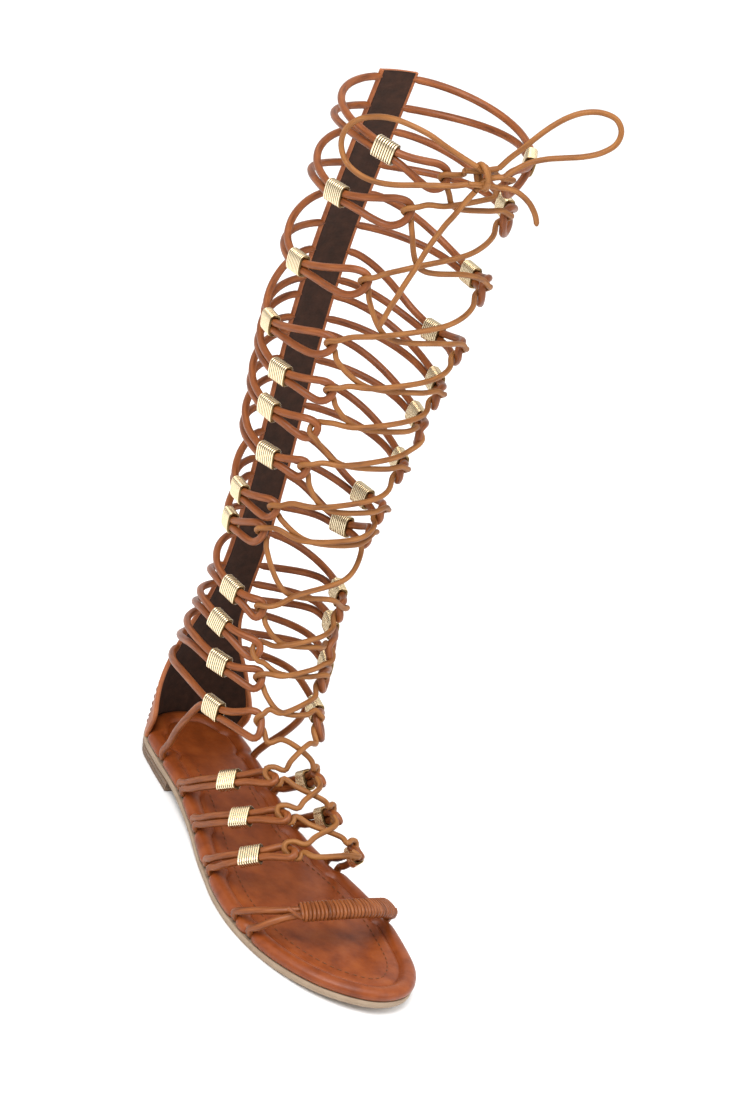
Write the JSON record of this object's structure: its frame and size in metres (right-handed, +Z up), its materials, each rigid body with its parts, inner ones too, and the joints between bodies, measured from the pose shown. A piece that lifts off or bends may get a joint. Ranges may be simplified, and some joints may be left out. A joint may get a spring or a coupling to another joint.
{
  "type": "gladiator sandal",
  "caption": "Knee-high flat gladiator sandal for the right foot: looped cord straps with metal sleeve beads, criss-cross lace tied in a bow, open toe and a closed heel counter.",
  "frame": {"origin": "middle of the heel's underside, on the floor", "axes": "+Z up along the leg, +Y from heel to toe, +X to the foot's outer side"},
  "size_m": [0.1139, 0.2575, 0.4459],
  "materials": {
    "outsole": "matt moulded",
    "insole": "smooth, waxed",
    "upper": "smooth, waxed",
    "strap_cord": "round leather cord",
    "lace": "round leather cord, matt",
    "bead": "pale gold plate, ribbed"
  },
  "bodies": {
    "root": {"outsole": "outsole", "heel": "outsole", "insole": "insole", "upper": "upper", "foot_loop_1_outer": "strap_cord", "foot_loop_1_inner": "strap_cord", "foot_loop_2_outer": "strap_cord", "foot_loop_2_inner": "strap_cord", "foot_loop_3_outer": "strap_cord", "foot_loop_3_inner": "strap_cord", "toe_strap": "strap_cord", "bead_01_outer": "bead", "bead_01_inner": "bead", "bead_02_outer": "bead", "bead_02_inner": "bead", "bead_03_outer": "bead", "bead_03_inner": "bead", "bead_04_outer": "bead", "bead_04_inner": "bead", "bead_05_outer": "bead", "bead_05_inner": "bead", "bead_06_outer": "bead", "bead_06_inner": "bead", "bead_07_outer": "bead", "bead_07_inner": "bead", "bead_08_outer": "bead", "bead_08_inner": "bead", "bead_09_outer": "bead", "bead_09_inner": "bead", "bead_10_outer": "bead", "bead_10_inner": "bead", "bead_11_outer": "bead", "bead_11_inner": "bead", "bead_12_outer": "bead", "bead_12_inner": "bead", "bead_13_outer": "bead", "bead_13_inner": "bead", "bead_14_outer": "bead", "bead_14_inner": "bead", "bead_15_outer": "bead", "bead_15_inner": "bead", "bead_16_outer": "bead", "bead_16_inner": "bead", "lace": "lace", "lace_knot": "lace", "lace_bow_outer": "lace", "lace_bow_inner": "lace", "lace_end_outer": "lace", "lace_end_inner": "lace"}
  },
  "joints": []
}
